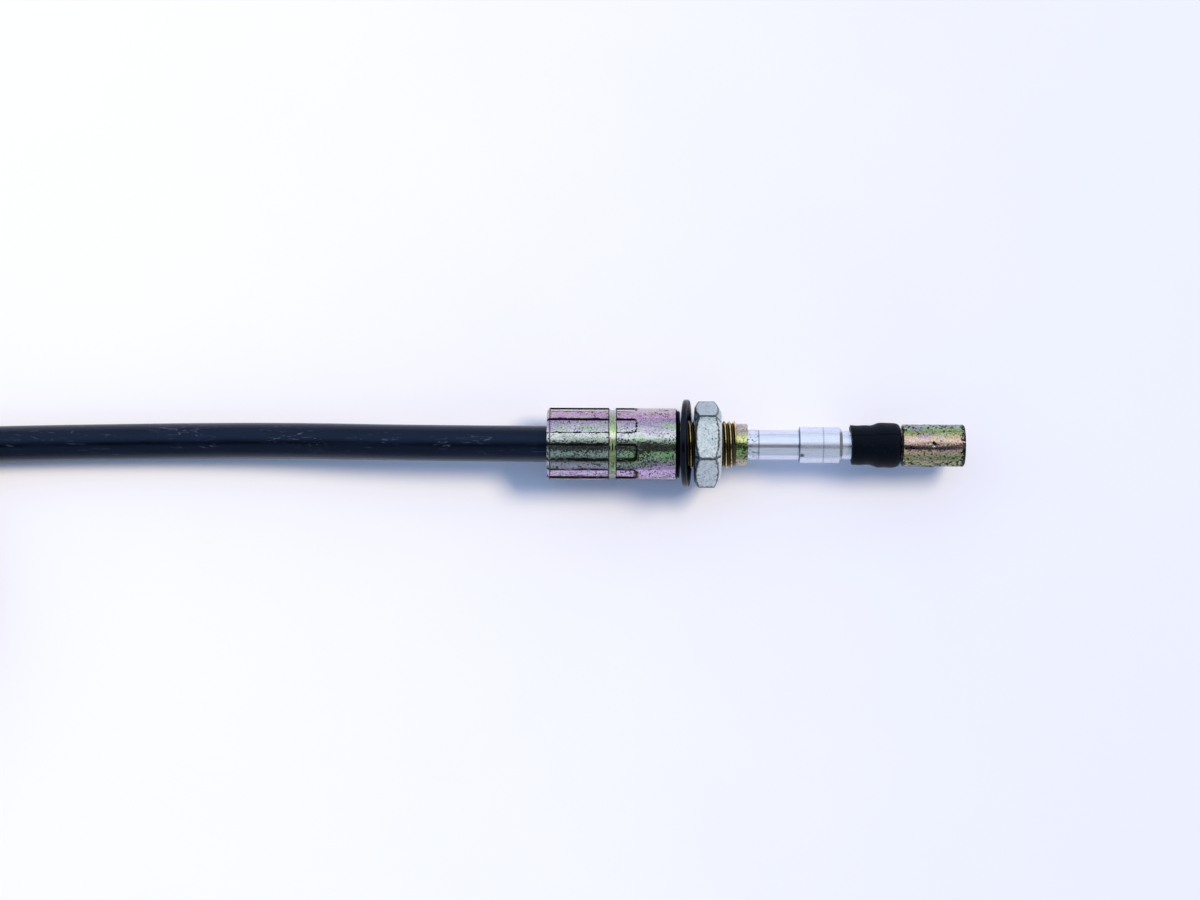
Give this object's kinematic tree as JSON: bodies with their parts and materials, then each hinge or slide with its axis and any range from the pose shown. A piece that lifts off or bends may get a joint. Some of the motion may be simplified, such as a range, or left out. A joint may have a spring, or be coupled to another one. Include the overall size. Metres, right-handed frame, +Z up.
{
  "type": "control cable",
  "caption": "Push-pull control cable with crimped bulkhead ferrule, panel nut and washer, sliding rod in a guide tube with rubber boot and end barrel, conduit tied in a hank.",
  "frame": {"origin": "on the near fitting's axis, in the ferrule's shoulder face that seats against a panel", "axes": "+X along the near fitting from the conduit to the end barrel, +Z up from the surface the cable lies on"},
  "size_m": [0.4656, 0.0901, 0.0229],
  "materials": {
    "zinc_yellow": "yellow passivated zinc, iridescent",
    "zinc_clear": "clear passivated zinc, mottled",
    "aluminium": "drawn, satin",
    "bright_steel": "ground bright",
    "rubber": "matt moulded",
    "black_washer": "gloss black",
    "conduit_black": "extruded, lightly scuffed",
    "tie_black": "moulded nylon",
    "liner_white": "extruded"
  },
  "bodies": {
    "body": {"ferrule": "zinc_yellow", "seal_ring": "rubber", "guide_tube": "aluminium", "rod_bush": "aluminium", "wiper_boot": "rubber", "jacket_end": "conduit_black", "armour_wires": "bright_steel", "inner_liner": "liner_white", "conduit": "conduit_black", "conduit_hank": "conduit_black", "conduit_tail": "conduit_black", "hank_ties": "tie_black", "far_ferrule": "zinc_yellow", "far_seal_ring": "rubber", "far_guide_tube": "aluminium", "far_rod_bush": "aluminium", "far_wiper_boot": "rubber", "far_jacket_end": "conduit_black", "far_armour_wires": "bright_steel", "far_inner_liner": "liner_white"},
    "rod": {"push_rod": "bright_steel", "end_barrel": "zinc_yellow", "core_wire": "bright_steel"},
    "washer": {"panel_washer": "black_washer"},
    "nut": {"hex_nut": "zinc_clear"},
    "far_rod": {"far_push_rod": "bright_steel", "far_end_barrel": "zinc_yellow", "far_core_wire": "bright_steel"},
    "far_washer": {"far_panel_washer": "black_washer"},
    "far_nut": {"far_hex_nut": "zinc_clear"}
  },
  "joints": [
    {"name": "rod_slide", "type": "slide", "parent": "body", "child": "rod", "axis": [1, 0, 0], "range_m": [0, 0.03]},
    {"name": "far_rod_slide", "type": "slide", "parent": "body", "child": "far_rod", "axis": [-1, 0, 0], "range_m": [-0.03, 0]},
    {"name": "nut_travel", "type": "slide", "parent": "body", "child": "washer", "axis": [1, 0, 0], "range_m": [-0.0001, 0.0035]},
    {"name": "nut_spin", "type": "hinge", "parent": "washer", "child": "nut", "pos_m": [0.00766, 0, 0], "axis": [1, 0, 0], "range_deg": [-29, 1009]},
    {"name": "far_nut_travel", "type": "slide", "parent": "body", "child": "far_washer", "axis": [-1, 0, 0], "range_m": [-0.0001, 0.0035]},
    {"name": "far_nut_spin", "type": "hinge", "parent": "far_washer", "child": "far_nut", "pos_m": [-0.25856, -0.0185, 0], "axis": [-1, 0, 0], "range_deg": [-29, 1009]}
  ],
  "couplings": [
    {"joint": "far_rod_slide", "follows": "rod_slide", "ratio": -1},
    {"joint": "nut_spin", "follows": "nut_travel", "rad_per_m": 5026.5},
    {"joint": "far_nut_spin", "follows": "far_nut_travel", "rad_per_m": 5026.5}
  ]
}
